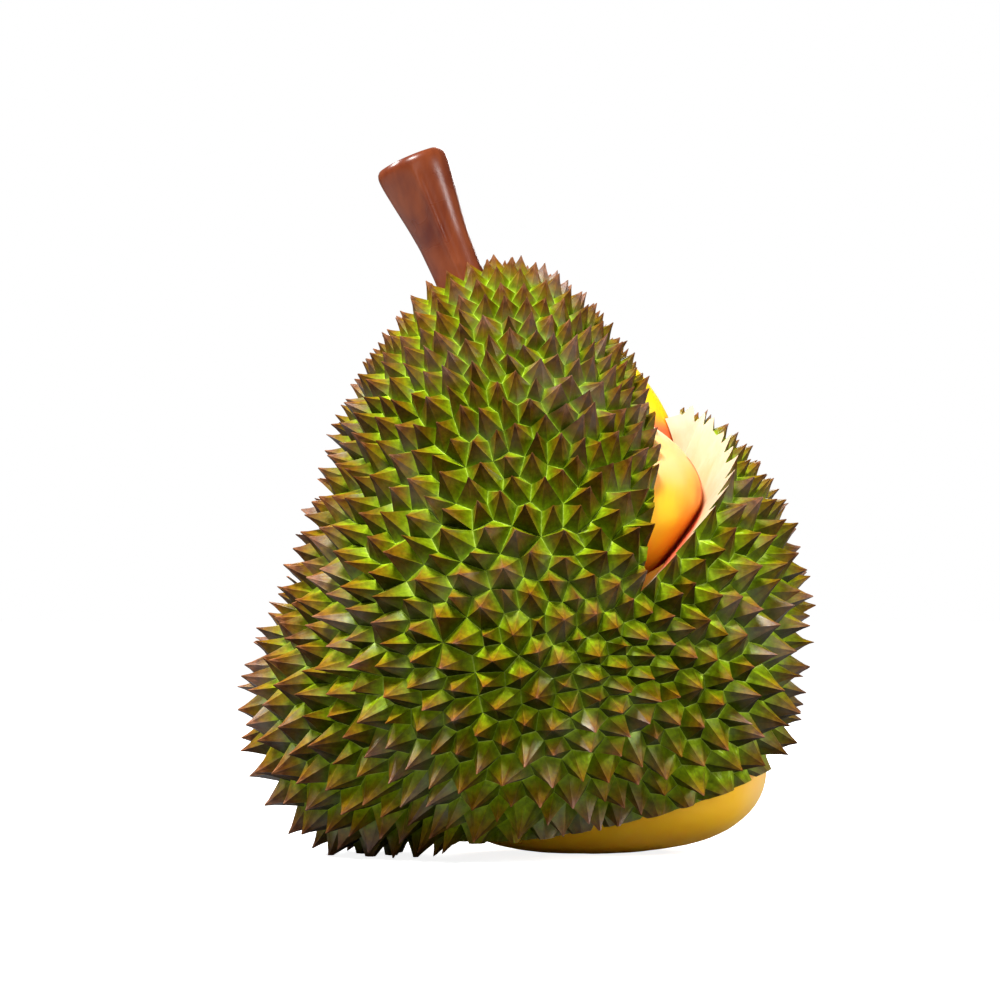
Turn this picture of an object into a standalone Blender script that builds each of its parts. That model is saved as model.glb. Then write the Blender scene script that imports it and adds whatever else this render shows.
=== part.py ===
"""An opened durian on its base: a spiked husk with a stem, split along its seams, and the pods inside it."""

import math
from statistics import mean

import bmesh
import bpy
import numpy as np
from mathutils import Matrix, Vector

MM = 0.001  # every size below is in millimetres

MIDDLE = (0.6, 3.9, 0.0)  # brings the middle of the whole fruit over the origin

# The skin, at the bottom of the grooves between the spikes, is a smooth union of ellipsoids
SKIN_CENTRE = (0.0, 0.0, 100.0)  # the skin is measured outwards from here
SKIN_LOBES = (  # centre, radii
    ((-9.0, 0.0, 106.0), (87.0, 86.0, 100.0)),  # belly of the back valve
    ((-11.0, 0.0, 170.0), (69.0, 64.0, 76.0)),  # its shoulder
    ((-12.0, 0.0, 212.0), (45.0, 42.0, 51.0)),  # its peak, under the stem
    ((-66.0, 12.0, 67.0), (51.5, 58.0, 60.0)),  # left valve
    ((55.5, 16.0, 102.0), (62.5, 66.0, 102.0)),  # right valve
)
SKIN_BLEND = 5.0  # how softly the lobes run into each other
SKIN_REACH = (20.0, 320.0)  # the skin lies between these distances from its centre
WALL = 12.0  # rind between the grooves and the hollow

# Spikes
SPIKE_PITCH = 14.0  # between neighbours
SPIKE_HEIGHT = 13.2
TOP_PITCH = 7.6  # round the stem, where the spikes are smallest
SHRINK_FROM, SHRINK_TO = 150.0, 262.0  # heights that they shrink between
CROWDING = 2.2  # how much closer they stand round the end of the split
CROWDED_PLACE = (45.0, -70.0, 92.0)
CROWDED_REACH = (50.0, 60.0, 30.0)
HEIGHT_SPREAD = 0.16  # share of the height, either way
LEAN_FROM = (38.0, 12.0, 86.0)  # spikes lean away from this point
LEAN = 0.42  # 0 stands square on the skin, 1 points straight away from that point
LEAN_SPREAD = 0.05
SPREAD_STEPS = 60
SPIKE_SEED = 18

# The split between the back valve and the right valve: cut faces that all point at its core
SPLIT_CORE = (37.0, 24.0, 104.0)
SPLIT_RIM = (  # x and z of the right valve's cut rim, from the split's low end to its top
    (48.5, 118.0),
    (62.0, 128.0),
    (74.0, 141.0),
    (84.0, 155.0),
    (89.0, 170.0),
    (88.0, 185.0),
    (80.0, 198.0),
    (68.0, 210.0),
)
SPLIT_SKY = (74.0, 240.0)  # the split is open to above here
SPLIT_EDGE_LOW = (57.0, 176.0)  # the back valve's cut edge, above the split's low end
SPLIT_EDGE_HIGH = (44.0, 230.0)

# The open front, and the underside
BACK_EDGE = ((0.0, -4.0, 112.0), (0.0, 1.0, -0.2))  # where the back valve ends, a point and a normal
CUP_EDGE = ((0.0, 0.0, 48.0), (0.72, 0.0, 1.0))  # the low front rim, high on the left valve
RIGHT_VALVE_SIDE = 62.0  # x where the right valve's front starts
RIGHT_VALVE_DEPTH = 62.0  # y that it reaches forward to
RIM_ARC_RADIUS = 250.0  # the raised rim underneath, on the right, is an arc
RIM_ARC_START = (-14.0, 2.0)  # x and z where it starts, on the left
RIM_ARC_LEAD = 6.0  # it slopes up from the ground over this width
RIM_ARC_WIDTH = 150.0
FAR = 260.0  # cutters reach this far, past everything

# Pods, the fleshy lobes: name, centre, radii, turn about Y in degrees, squareness (2 is an ellipsoid)
PODS = (
    ("pod_back_upper", (38.5, 37.0, 196.0), (47.8, 26.0, 25.9), 59.0, 2.16),
    ("pod_right", (34.8, 3.0, 165.2), (42.3, 44.0, 36.0), 37.4, 3.0),
    ("pod_base", (34.0, 26.0, 40.0), (76.0, 47.0, 40.4), -2.0, 2.6),
    ("pod_left_upper", (-32.0, -6.0, 176.0), (39.0, 46.0, 58.0), -12.0, 2.0),
    ("pod_left", (-64.0, 8.0, 72.0), (42.0, 56.0, 50.0), 0.0, 2.0),
    ("pod_right_lower", (66.0, 4.0, 98.0), (36.0, 60.0, 42.0), 0.0, 2.0),
    ("pod_front", (-9.0, 0.0, 107.0), (41.0, 64.0, 56.0), 0.0, 2.0),
)
POD_GAP = 1.0  # between a pod and its neighbours
POD_SEGMENTS = 32
POD_RINGS = 20
POD_ROOM = 0.6  # the husk is cut this far clear of the pods that it makes room for
ROOM_WAYS = {  # those pods, and the ways that the husk is open from each
    "pod_base": ((0, 0, 0), (0, 0, -70), (50, 20, -30), (0, 70, -20)),
    "pod_back_upper": ((0, 0, 0),),
    "pod_right": ((0, 0, 0),),
}
POD_RIGHT_SIDE = 55.0  # left of this x, pod_right stays under the rind instead

# Stem: a turned stalk, sunk a little into the husk
STEM_FOOT = (-25.5, 0.0, 250.0)
STEM_TOP = (-52.4, 0.0, 312.8)
STEM_PROFILE = (  # radius and share of the length, from the cut top down
    (0.0, 0.994),
    (11.5, 0.994),
    (14.6, 1.0),
    (15.7, 0.982),
    (15.9, 0.95),
    (15.5, 0.88),
    (14.3, 0.73),
    (12.7, 0.58),
    (11.2, 0.43),
    (9.8, 0.2),
    (10.0, 0.0),
    (0.0, 0.0),
)
STEM_SIDES = 24
STEM_GAP = 0.4


# ---- skin ----


def ellipsoid_distance(points, centre, radii):
    """Roughly how far each point is outside an ellipsoid; negative inside."""
    offset = (points - np.array(centre)) / np.array(radii)
    reach = np.linalg.norm(offset, axis=1)
    slope = np.linalg.norm(offset / np.array(radii), axis=1)
    return reach * (reach - 1.0) / np.maximum(slope, 1e-9)


def skin_distance(points):
    lobes = np.array([ellipsoid_distance(points, *lobe) for lobe in SKIN_LOBES])
    nearest = lobes.min(axis=0)
    return nearest - SKIN_BLEND * np.log(np.exp((nearest - lobes) / SKIN_BLEND).sum(axis=0))


def unit(vectors):
    return vectors / np.linalg.norm(vectors, axis=1, keepdims=True)


def skin_normal(points, step=0.5):
    slopes = [skin_distance(points + step * axis) - skin_distance(points - step * axis) for axis in np.eye(3)]
    return unit(np.array(slopes).T)


def on_skin(ways, inset=0.0):
    """Points on the skin, or that far inside it, along rays from its centre."""
    centre = np.array(SKIN_CENTRE)
    ways = unit(ways)
    near = np.full(len(ways), SKIN_REACH[0])
    far = np.full(len(ways), SKIN_REACH[1])
    for _ in range(40):
        middle = (near + far) / 2
        inside = skin_distance(centre + ways * middle[:, None]) < -inset
        near = np.where(inside, middle, near)
        far = np.where(inside, far, middle)
    return centre + ways * near[:, None]


# ---- spikes ----


def spike_pitch(points):
    offset = (points - np.array(CROWDED_PLACE)) / np.array(CROWDED_REACH)
    crowded = np.exp(-(offset**2).sum(axis=1))
    shrunk = np.clip((points[:, 2] - SHRINK_FROM) / (SHRINK_TO - SHRINK_FROM), 0, 1)
    return SPIKE_PITCH - CROWDING * crowded - (SPIKE_PITCH - TOP_PITCH) * shrunk


def spiral(count):
    """Directions spread evenly over a sphere."""
    number = np.arange(count)
    height = 1 - (2 * number + 1) / count
    turn = number * math.pi * (3 - math.sqrt(5))
    ring = np.sqrt(1 - height**2)
    return np.stack([ring * np.cos(turn), ring * np.sin(turn), height], axis=1)


def spike_sites():
    """Places for the spikes: as many as the skin has room for, spread by pushing neighbours apart."""
    random = np.random.default_rng(SPIKE_SEED)
    ways = spiral(12000)
    points = on_skin(ways)
    reach = np.linalg.norm(points - np.array(SKIN_CENTRE), axis=1)
    facing = (ways * skin_normal(points)).sum(axis=1)
    area = 4 * math.pi / len(ways) * reach**2 / facing
    room = np.cumsum(area / (math.sqrt(0.75) * spike_pitch(points) ** 2))
    chosen = np.searchsorted(room, np.arange(0.5, room[-1]))
    sites = on_skin(ways[chosen] + random.normal(0, 0.02, (len(chosen), 3)))
    for step in range(SPREAD_STEPS):
        pitch = spike_pitch(sites)
        apart = sites[:, None, :] - sites[None, :, :]
        distance = np.linalg.norm(apart, axis=2) + 1e-6
        push = np.clip(1 - distance / (0.75 * (pitch[:, None] + pitch[None, :])), 0, None)
        np.fill_diagonal(push, 0)
        move = (apart * (push / distance)[:, :, None]).sum(axis=1)
        strength = 4.5 if step < SPREAD_STEPS * 2 // 3 else 2.0
        sites = on_skin(sites + strength * move - np.array(SKIN_CENTRE))
    return sites


def spike_tips(sites):
    random = np.random.default_rng(SPIKE_SEED + 1)
    heading = (1 - LEAN) * skin_normal(sites) + LEAN * unit(sites - np.array(LEAN_FROM))
    heading = unit(heading + random.normal(0, LEAN_SPREAD, sites.shape))
    size = SPIKE_HEIGHT * (spike_pitch(sites) / SPIKE_PITCH) ** 0.7
    size *= 1 + HEIGHT_SPREAD * random.uniform(-1, 1, len(sites))
    return sites + heading * size[:, None]


# ---- meshes ----


def get_points(bm):
    return np.array([vertex.co[:] for vertex in bm.verts])


def set_points(verts, points):
    for vertex, point in zip(verts, points):
        vertex.co = Vector(point)


def hull_of(points):
    bm = bmesh.new()
    for point in points:
        bm.verts.new(point)
    bmesh.ops.convex_hull(bm, input=bm.verts)
    loose = [vertex for vertex in bm.verts if not vertex.link_faces]
    bmesh.ops.delete(bm, geom=loose, context="VERTS")
    return bm


def spiked_skin():
    """The closed skin, with a pyramid on each site whose base corners lie in the grooves."""
    sites = spike_sites()
    centre = np.array(SKIN_CENTRE)
    bm = hull_of(unit(sites - centre))
    spikes = list(bm.verts)
    set_points(spikes, sites)
    bmesh.ops.beautify_fill(bm, faces=bm.faces, edges=bm.edges, method="ANGLE")
    between_spikes = list(bm.edges)
    grooves = bmesh.ops.poke(bm, faces=bm.faces)["verts"]
    middles = np.array([vertex.co[:] for vertex in grooves])
    set_points(grooves, on_skin(middles - centre))
    bmesh.ops.rotate_edges(bm, edges=between_spikes)
    set_points(spikes, spike_tips(sites))
    return bm


def hollow():
    bm = bmesh.new()
    bmesh.ops.create_icosphere(bm, subdivisions=4, radius=1.0)
    set_points(bm.verts, on_skin(get_points(bm), WALL))
    return bm


def block_behind(planes):
    """A block that keeps only what lies in front of every plane, each a point and a normal."""
    bm = bmesh.new()
    bmesh.ops.create_cube(bm, size=2 * FAR)
    bmesh.ops.translate(bm, verts=bm.verts, vec=SKIN_CENTRE)
    for point, normal in planes:
        everything = [*bm.verts, *bm.edges, *bm.faces]
        cut = bmesh.ops.bisect_plane(bm, geom=everything, plane_co=point, plane_no=normal, clear_inner=True)
        edges = [item for item in cut["geom_cut"] if isinstance(item, bmesh.types.BMEdge)]
        bmesh.ops.contextual_create(bm, geom=edges)
    return bm


def near_skin(x, z):
    """The skin's point at this x and z on the side away from the open front, or one over its core."""
    depths = np.linspace(-140.0, SPLIT_CORE[1], 400)
    points = np.stack([np.full(400, x), depths, np.full(400, z)], axis=1)
    inside = skin_distance(points) < 0
    return points[np.argmax(inside)] if inside.any() else points[-1]


def split_cone(outline):
    """A solid cone from the split's core out through an outline of the skin."""
    core = np.array(SPLIT_CORE)
    ways = unit(np.array([near_skin(x, z) - core for x, z in outline]))
    return hull_of([core, *(core + FAR * ways)])


def below_rim_arc():
    """Everything below the arc that the raised rim follows."""
    start_x, start_z = RIM_ARC_START
    along = np.linspace(0, RIM_ARC_WIDTH, 15)
    rise = RIM_ARC_RADIUS - np.sqrt(RIM_ARC_RADIUS**2 - along**2)
    outline = [(start_x + step, start_z + height) for step, height in zip(along, rise)]
    lead_x = start_x - RIM_ARC_LEAD
    outline = [(lead_x, -2.0), *outline, (start_x + RIM_ARC_WIDTH, -FAR), (lead_x, -FAR)]
    bm = bmesh.new()
    face = bm.faces.new([bm.verts.new((x, -FAR, z)) for x, z in outline])
    swept = bmesh.ops.extrude_face_region(bm, geom=[face])["geom"]
    moved = [item for item in swept if isinstance(item, bmesh.types.BMVert)]
    bmesh.ops.translate(bm, verts=moved, vec=(0, 2 * FAR, 0))
    return bm


def openings():
    """The convex solids that open the husk above its base."""
    right_side = (RIGHT_VALVE_SIDE, 0.0, 0.0)
    return {
        "split_low": split_cone([*SPLIT_RIM, SPLIT_SKY, SPLIT_EDGE_LOW]),
        "split_high": split_cone([SPLIT_EDGE_LOW, *SPLIT_RIM[3:], SPLIT_SKY, SPLIT_EDGE_HIGH]),
        "front": block_behind([BACK_EDGE, CUP_EDGE, (right_side, (-1.0, 0.0, 0.0))]),
        "right_valve_front": block_behind([((0.0, RIGHT_VALVE_DEPTH, 0.0), (0.0, 1.0, 0.0)), CUP_EDGE]),
    }


# ---- pods ----


def planes_of(bm):
    """The planes of a convex solid, as outward normals and their distances from the origin."""
    bmesh.ops.recalc_face_normals(bm, faces=bm.faces)
    normals = np.array([face.normal[:] for face in bm.faces])
    starts = np.array([face.verts[0].co[:] for face in bm.faces])
    return normals, (normals * starts).sum(axis=1)


def in_rind(points, open_planes):
    depth = skin_distance(points)
    inside = (depth > -WALL - POD_GAP) & (depth < 1.3 * SPIKE_HEIGHT)
    for normals, distances in open_planes:
        inside &= ((points @ normals.T - distances) > -POD_GAP).any(axis=1)
    return inside


def pod_size(pod, ways):
    """How far a pod reaches from its centre each way, if nothing is near it."""
    _, _, radii, turn, squareness = pod
    turned = ways @ np.array(Matrix.Rotation(math.radians(turn), 3, "Y"))
    return (np.abs(turned / np.array(radii)) ** squareness).sum(axis=1) ** (-1 / squareness)


def pod_distance(pod, points):
    offset = points - np.array(pod[1])
    distance = np.linalg.norm(offset, axis=1) + 1e-9
    return distance - pod_size(pod, offset / distance[:, None])


def pod_mesh(index, open_planes):
    """A pod that keeps clear of the rind and of the pods before it, pressed in where it meets them."""
    pod = PODS[index]
    centre = np.array(pod[1])
    bm = bmesh.new()
    bmesh.ops.create_uvsphere(bm, u_segments=POD_SEGMENTS, v_segments=POD_RINGS, radius=1.0)
    ways = get_points(bm)
    size = pod_size(pod, ways)
    share = np.ones(len(ways))
    clear = np.ones(len(ways), bool)
    for tried in np.linspace(0, 1, 61)[1:]:
        points = centre + ways * (size * tried)[:, None]
        free = np.full(len(ways), True)
        for other in PODS[:index]:
            free &= pod_distance(other, points) > POD_GAP
        if pod[0] == "pod_right":
            free &= ~in_rind(points, open_planes) | (points[:, 0] > POD_RIGHT_SIDE)
        elif pod[0] not in ROOM_WAYS:
            free &= ~in_rind(points, open_planes)
        share[clear & ~free] = tried - 1 / 60
        clear &= free
    beside = [[edge.other_vert(vertex).index for edge in vertex.link_edges] for vertex in bm.verts]
    for settle in (min, mean):  # kept clear, then smoothed
        share = np.array([settle([share[i], *share[around]]) for i, around in enumerate(beside)])
    set_points(bm.verts, centre + ways * (size * share)[:, None])
    return bm


def pod_room(name):
    """The space that a pod takes in the husk."""
    pod = next(pod for pod in PODS if pod[0] == name)
    bm = bmesh.new()
    bmesh.ops.create_uvsphere(bm, u_segments=POD_SEGMENTS, v_segments=POD_RINGS, radius=1.0)
    ways = get_points(bm)
    bm.free()
    shape = np.array(pod[1]) + ways * (pod_size(pod, ways) + POD_ROOM)[:, None]
    if name == "pod_right":
        shape = shape[shape[:, 0] > POD_RIGHT_SIDE]
    return hull_of(np.concatenate([shape + np.array(way) for way in ROOM_WAYS[name]]))


# ---- objects ----


def new_collection(name, hidden=False):
    collection = bpy.data.collections.new(name)
    collection.hide_render = hidden
    bpy.context.scene.collection.children.link(collection)
    return collection


def new_material(name, colour, roughness):
    material = bpy.data.materials.new(name)
    material.use_nodes = True
    shader = material.node_tree.nodes["Principled BSDF"]
    shader.inputs["Base Color"].default_value = (*colour, 1.0)
    shader.inputs["Roughness"].default_value = roughness
    shader.inputs["Metallic"].default_value = 0.0
    return material


def add_object(name, bm, collection, parent, material=None):
    """Makes an object of a mesh in millimetres, parented to the fruit's middle."""
    bmesh.ops.scale(bm, vec=(MM, MM, MM), verts=bm.verts)
    bmesh.ops.recalc_face_normals(bm, faces=bm.faces)
    mesh = bpy.data.meshes.new(name)
    bm.to_mesh(mesh)
    bm.free()
    made = bpy.data.objects.new(name, mesh)
    made.parent = parent
    collection.objects.link(made)
    if material:
        mesh.materials.append(material)
    else:
        made.hide_render = True
        made.display_type = "WIRE"
    return made


def add_stem(name, collection, parent, material=None, grow=0.0):
    """A profile turned about its own Z, then leaned over."""
    foot = Vector(STEM_FOOT)
    axis = Vector(STEM_TOP) - foot
    bm = bmesh.new()
    points = []
    for radius, share in STEM_PROFILE:
        height = share * axis.length + (grow if share > 0 else -grow)
        points.append(bm.verts.new((radius + grow if radius else 0.0, 0.0, height)))
    for upper, lower in zip(points, points[1:]):
        bm.edges.new((upper, lower))
    made = add_object(name, bm, collection, parent, material)
    made.location = foot * MM
    made.rotation_euler = axis.to_track_quat("Z", "Y").to_euler()
    turned = made.modifiers.new("turned", "SCREW")
    turned.steps = turned.render_steps = STEM_SIDES
    turned.use_merge_vertices = True
    turned.merge_threshold = 1e-5
    return made


def cut(target, cutter):
    modifier = target.modifiers.new(cutter.name, "BOOLEAN")
    modifier.operation = "DIFFERENCE"
    modifier.solver = "EXACT"
    modifier.object = cutter


def main():
    for existing in list(bpy.data.objects):
        bpy.data.objects.remove(existing)
    durian = new_collection("durian")
    cutters = new_collection("cutters", hidden=True)
    middle = bpy.data.objects.new("middle", None)
    middle.location = Vector(MIDDLE) * MM
    durian.objects.link(middle)

    rind = new_material("rind", (0.16, 0.20, 0.03), 0.42)
    flesh = new_material("flesh", (0.86, 0.55, 0.05), 0.35)
    bark = new_material("bark", (0.17, 0.06, 0.04), 0.35)

    opened = openings()
    open_planes = [planes_of(mesh) for mesh in opened.values()]
    pods = {pod[0]: pod_mesh(index, open_planes) for index, pod in enumerate(PODS)}
    cutter_meshes = {
        "hollow": hollow(),
        **opened,
        **{f"{name}_room": pod_room(name) for name in ROOM_WAYS},
        "rim_arc": below_rim_arc(),
        "ground": block_behind([((0.0, 0.0, 0.0), (0.0, 0.0, -1.0))]),
    }
    tools = {name: add_object(name, mesh, cutters, middle) for name, mesh in cutter_meshes.items()}
    tools["stem_room"] = add_stem("stem_room", cutters, middle, grow=STEM_GAP)

    husk = add_object("husk", spiked_skin(), durian, middle, rind)
    for tool in tools.values():
        cut(husk, tool)
    add_stem("stem", durian, middle, bark)
    for name, mesh in pods.items():
        pod = add_object(name, mesh, durian, middle, flesh)
        pod.data.shade_smooth()
        if name == "pod_base":
            cut(pod, tools["ground"])


main()
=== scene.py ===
# An opened durian on a pale floor: spiked rind cut open to its pith, a stalk, and the pods of flesh inside.
import math
from statistics import mean

import bmesh
import bpy
import numpy as np
from mathutils import Matrix, Vector, noise


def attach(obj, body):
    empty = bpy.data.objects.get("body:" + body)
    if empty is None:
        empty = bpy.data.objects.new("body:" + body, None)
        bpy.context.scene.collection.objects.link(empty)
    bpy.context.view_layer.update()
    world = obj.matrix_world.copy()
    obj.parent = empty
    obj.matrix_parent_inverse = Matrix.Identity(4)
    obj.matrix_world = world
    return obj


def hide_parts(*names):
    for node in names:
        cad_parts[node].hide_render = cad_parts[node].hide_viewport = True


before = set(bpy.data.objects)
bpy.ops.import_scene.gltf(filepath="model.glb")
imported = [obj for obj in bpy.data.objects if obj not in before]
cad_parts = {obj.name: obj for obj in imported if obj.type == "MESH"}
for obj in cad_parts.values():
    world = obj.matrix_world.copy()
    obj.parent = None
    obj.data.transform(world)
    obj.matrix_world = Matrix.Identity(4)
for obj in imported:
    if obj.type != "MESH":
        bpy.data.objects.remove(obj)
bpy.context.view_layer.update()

mm = 0.001  # sizes below are in millimetres until a mesh is made
middle = np.array([0.6, 3.9, 0.0])  # where the fruit's own origin stands in the frame

skin = {
    "centre": (0.0, 0.0, 100.0),
    "lobes": (  # centre and radii: belly, shoulder and peak of the back valve, left valve, right valve
        ((-9.0, 0.0, 106.0), (87.0, 86.0, 100.0)),
        ((-11.0, 0.0, 170.0), (69.0, 64.0, 76.0)),
        ((-12.0, 0.0, 212.0), (45.0, 42.0, 51.0)),
        ((-66.0, 12.0, 67.0), (51.5, 58.0, 60.0)),
        ((55.5, 16.0, 102.0), (62.5, 66.0, 102.0)),
    ),
    "blend": 5.0,
    "reach": (20.0, 320.0),
    "wall": 12.0,
    # the white inner layer, thicker where the flesh lies in it beside the split and under the stalk
    "thickPith": (((76.0, -44.0, 130.0), (44.0, 50.0, 56.0), 36.0),
                  ((90.0, 40.0, 160.0), (40.0, 50.0, 50.0), 22.0),
                  ((-10.0, 0.0, 250.0), (60.0, 60.0, 50.0), 12.0)),
}

spikes = {
    "pitch": 14.0,
    "height": 13.2,
    "topPitch": 7.6,
    "shrink": (150.0, 262.0),
    "crowding": 2.2,
    "crowdedAt": (45.0, -70.0, 92.0),
    "crowdedReach": (50.0, 60.0, 30.0),
    "rimCrowding": 5.6,
    "rimAt": (88.0, 14.0, 196.0),
    "rimReach": (34.0, 80.0, 44.0),
    "least": 6.5,
    "rimSpacing": 1.05,  # spacing of the spikes that the split cuts in two, as a share of the pitch
    "rimClear": 0.6,  # and how far the others keep away from them
    "shortSide": 0.44,  # sides under this share of the pitch close up, so a spike has four or five flanks
    "heightPower": 0.8,  # below 1 the narrow spikes are tall for their width
    "heightSpread": 0.16,
    "leanFrom": (38.0, 12.0, 86.0),
    "lean": 0.42,
    "leanSpread": 0.05,
    "spots": 12000,  # places that the spikes are first chosen from
    "jitter": 0.02,
    "push": (4.5, 2.0),  # how hard neighbours push apart, in the first steps and in the last third
    "steps": 60,
    "seed": 10,
    "rings": 5,  # rows of faces up a spike
    "rowSpread": 1.15,  # above 1 the lower rows are the closer ones
    "flare": 1.1,  # 1 is a straight pyramid, more draws the flanks in
    "hollowFlank": 0.06,  # how far the middle of a flank sinks between its ridges
    "blunt": 0.03,  # width of the tip as a share of the base
}

opening = {
    "core": (37.0, 24.0, 104.0),
    "rim": ((48.5, 118.0), (58.5, 128.0), (68.0, 139.5), (75.0, 147.5), (81.5, 156.5), (88.5, 170.0),
            (88.0, 185.0), (80.0, 198.0), (68.0, 210.0)),
    "sky": (74.0, 240.0),
    "edgeLow": (57.0, 176.0),
    "edgeHigh": (44.0, 230.0),
    "backEdge": ((0.0, -4.0, 112.0), (0.0, 1.0, -0.2)),
    "cupEdge": ((0.0, 0.0, 48.0), (0.72, 0.0, 1.0)),
    "rightSide": 62.0,
    "rightDepth": 62.0,
    "topCorner": ((59.0, 0.0, (1.0, 0.0, 0.0)), (71.0, 0.0, (-1.0, 0.0, 0.0)),
                  (66.0, 199.0, (-0.3, 0.0, 1.0))),
    "rimArc": (330.0, -30.0, 8.0, 150.0),  # radius, x and z of its start, width
    "rimLead": (16.0, -2.0),  # it slopes up from this far left of its start, and this height
    "far": 260.0,
}


def plug(node, inputs):
    # a node given as an input stands for its Fac output, or else its first one
    for name, value in inputs.items():
        if isinstance(value, bpy.types.Node):
            value = value.outputs.get("Fac") or value.outputs[0]
        if isinstance(value, bpy.types.NodeSocket):
            node.id_data.links.new(value, node.inputs[name])
        else:
            node.inputs[name].default_value = value


def addNode(tree, kind, inputs=None, **settings):
    node = tree.nodes.new(kind)
    for name, value in settings.items():
        setattr(node, name, value)
    plug(node, inputs or {})
    return node


def newMaterial(name):
    material = bpy.data.materials.new(name)
    material.use_nodes = True
    tree = material.node_tree
    return material, tree, tree.nodes["Principled BSDF"]


def fillRamp(ramp, colours):
    while len(ramp) < len(colours):
        ramp.new(0.5)
    for stop, (at, code) in zip(ramp, colours):
        stop.position = at
        stop.color = linear(code)


def linear(code):
    channels = [int(code[i:i + 2], 16) / 255 for i in (1, 3, 5)]
    return (*[c / 12.92 if c <= 0.04045 else ((c + 0.055) / 1.055) ** 2.4 for c in channels], 1.0)


# the skin, at the bottom of the grooves
def ellipsoidDistance(points, centre, radii):
    offset = (points - np.array(centre)) / np.array(radii)
    reach = np.linalg.norm(offset, axis=1)
    slope = np.linalg.norm(offset / np.array(radii), axis=1)
    return reach * (reach - 1.0) / np.maximum(slope, 1e-9)


def skinDistance(points):
    lobes = np.array([ellipsoidDistance(points, *lobe) for lobe in skin["lobes"]])
    nearest = lobes.min(axis=0)
    return nearest - skin["blend"] * np.log(np.exp((nearest - lobes) / skin["blend"]).sum(axis=0))


def unit(vectors):
    return vectors / np.linalg.norm(vectors, axis=1, keepdims=True)


def skinNormal(points, step=0.5):
    slopes = [skinDistance(points + step * axis) - skinDistance(points - step * axis) for axis in np.eye(3)]
    return unit(np.array(slopes).T)


def onSkin(ways, inset=0.0):
    centre = np.array(skin["centre"])
    ways = unit(ways)
    near = np.full(len(ways), skin["reach"][0])
    far = np.full(len(ways), skin["reach"][1])
    for _ in range(40):
        halfway = (near + far) / 2
        inside = skinDistance(centre + ways * halfway[:, None]) < -inset
        near = np.where(inside, halfway, near)
        far = np.where(inside, far, halfway)
    return centre + ways * near[:, None]


# where the spikes stand
def spikePitch(points):
    offset = (points - np.array(spikes["crowdedAt"])) / np.array(spikes["crowdedReach"])
    crowded = spikes["crowding"] * np.exp(-(offset**2).sum(axis=1))
    offset = (points - np.array(spikes["rimAt"])) / np.array(spikes["rimReach"])
    crowded += spikes["rimCrowding"] * np.exp(-(offset**2).sum(axis=1))
    low, high = spikes["shrink"]
    shrunk = np.clip((points[:, 2] - low) / (high - low), 0, 1)
    return np.maximum(spikes["pitch"] - crowded - (spikes["pitch"] - spikes["topPitch"]) * shrunk,
                      spikes["least"])


def spiral(count):
    number = np.arange(count)
    height = 1 - (2 * number + 1) / count
    turn = number * math.pi * (3 - math.sqrt(5))
    ring = np.sqrt(1 - height**2)
    return np.stack([ring * np.cos(turn), ring * np.sin(turn), height], axis=1)


def rimSites():
    # a row of spikes on the split's rim, so that the cut runs through their tips
    corners = np.array(opening["rim"])
    along = np.concatenate([[0], np.cumsum(np.linalg.norm(np.diff(corners, axis=0), axis=1))])
    line = np.linspace(0, along[-1], 200)
    points = np.array([nearSkin(x, z) for x, z in zip(np.interp(line, along, corners[:, 0]),
                                                      np.interp(line, along, corners[:, 1]))])
    points = onSkin(points - np.array(skin["centre"]))
    step = np.linalg.norm(np.diff(points, axis=0), axis=1) / (spikes["rimSpacing"] * spikePitch(points[1:]))
    place = np.concatenate([[0], np.cumsum(step)])
    return points[np.unique(np.searchsorted(place, np.arange(0.5, place[-1])))]


def spikeSites():
    random = np.random.default_rng(spikes["seed"])
    rim = rimSites()
    ways = spiral(spikes["spots"])
    points = onSkin(ways)
    reach = np.linalg.norm(points - np.array(skin["centre"]), axis=1)
    facing = (ways * skinNormal(points)).sum(axis=1)
    area = 4 * math.pi / len(ways) * reach**2 / facing
    room = np.cumsum(area / (math.sqrt(0.75) * spikePitch(points) ** 2))
    chosen = np.searchsorted(room, np.arange(0.5, room[-1]))
    sites = onSkin(ways[chosen] + random.normal(0, spikes["jitter"], (len(chosen), 3)))
    toRow = np.linalg.norm(sites[:, None] - rim[None], axis=2).min(axis=1)
    sites = np.concatenate([rim, sites[toRow >= spikes["rimClear"] * spikePitch(sites)]])
    for step in range(spikes["steps"]):
        pitch = spikePitch(sites)
        apart = sites[:, None, :] - sites[None, :, :]
        distance = np.linalg.norm(apart, axis=2) + 1e-6
        push = np.clip(1 - distance / (0.75 * (pitch[:, None] + pitch[None, :])), 0, None)
        np.fill_diagonal(push, 0)
        move = (apart * (push / distance)[:, :, None]).sum(axis=1)
        strength = spikes["push"][0 if step < spikes["steps"] * 2 // 3 else 1]
        move[:len(rim)] = 0  # the spikes on the rim stay
        sites = onSkin(sites + strength * move - np.array(skin["centre"]))
    return sites, len(rim)


def spikeTips(sites, rimCount):
    random = np.random.default_rng(spikes["seed"] + 1)
    outward = unit(sites - np.array(spikes["leanFrom"]))
    heading = (1 - spikes["lean"]) * skinNormal(sites) + spikes["lean"] * outward
    heading = unit(heading + random.normal(0, spikes["leanSpread"], sites.shape))
    heading[:rimCount] = unit(sites[:rimCount] - np.array(opening["core"]))
    size = spikes["height"] * (spikePitch(sites) / spikes["pitch"]) ** spikes["heightPower"]
    size *= 1 + spikes["heightSpread"] * random.uniform(-1, 1, len(sites))
    return sites + heading * size[:, None]


def readAll(rows, name, width=1, kind=np.float32):
    found = np.zeros(len(rows) * width, kind)
    rows.foreach_get(name, found)
    return found.reshape(-1, width) if width > 1 else found


def valuesOf(mesh, name, width=1):
    return readAll(mesh.attributes[name].data, "vector" if width == 3 else "value", width)


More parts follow.
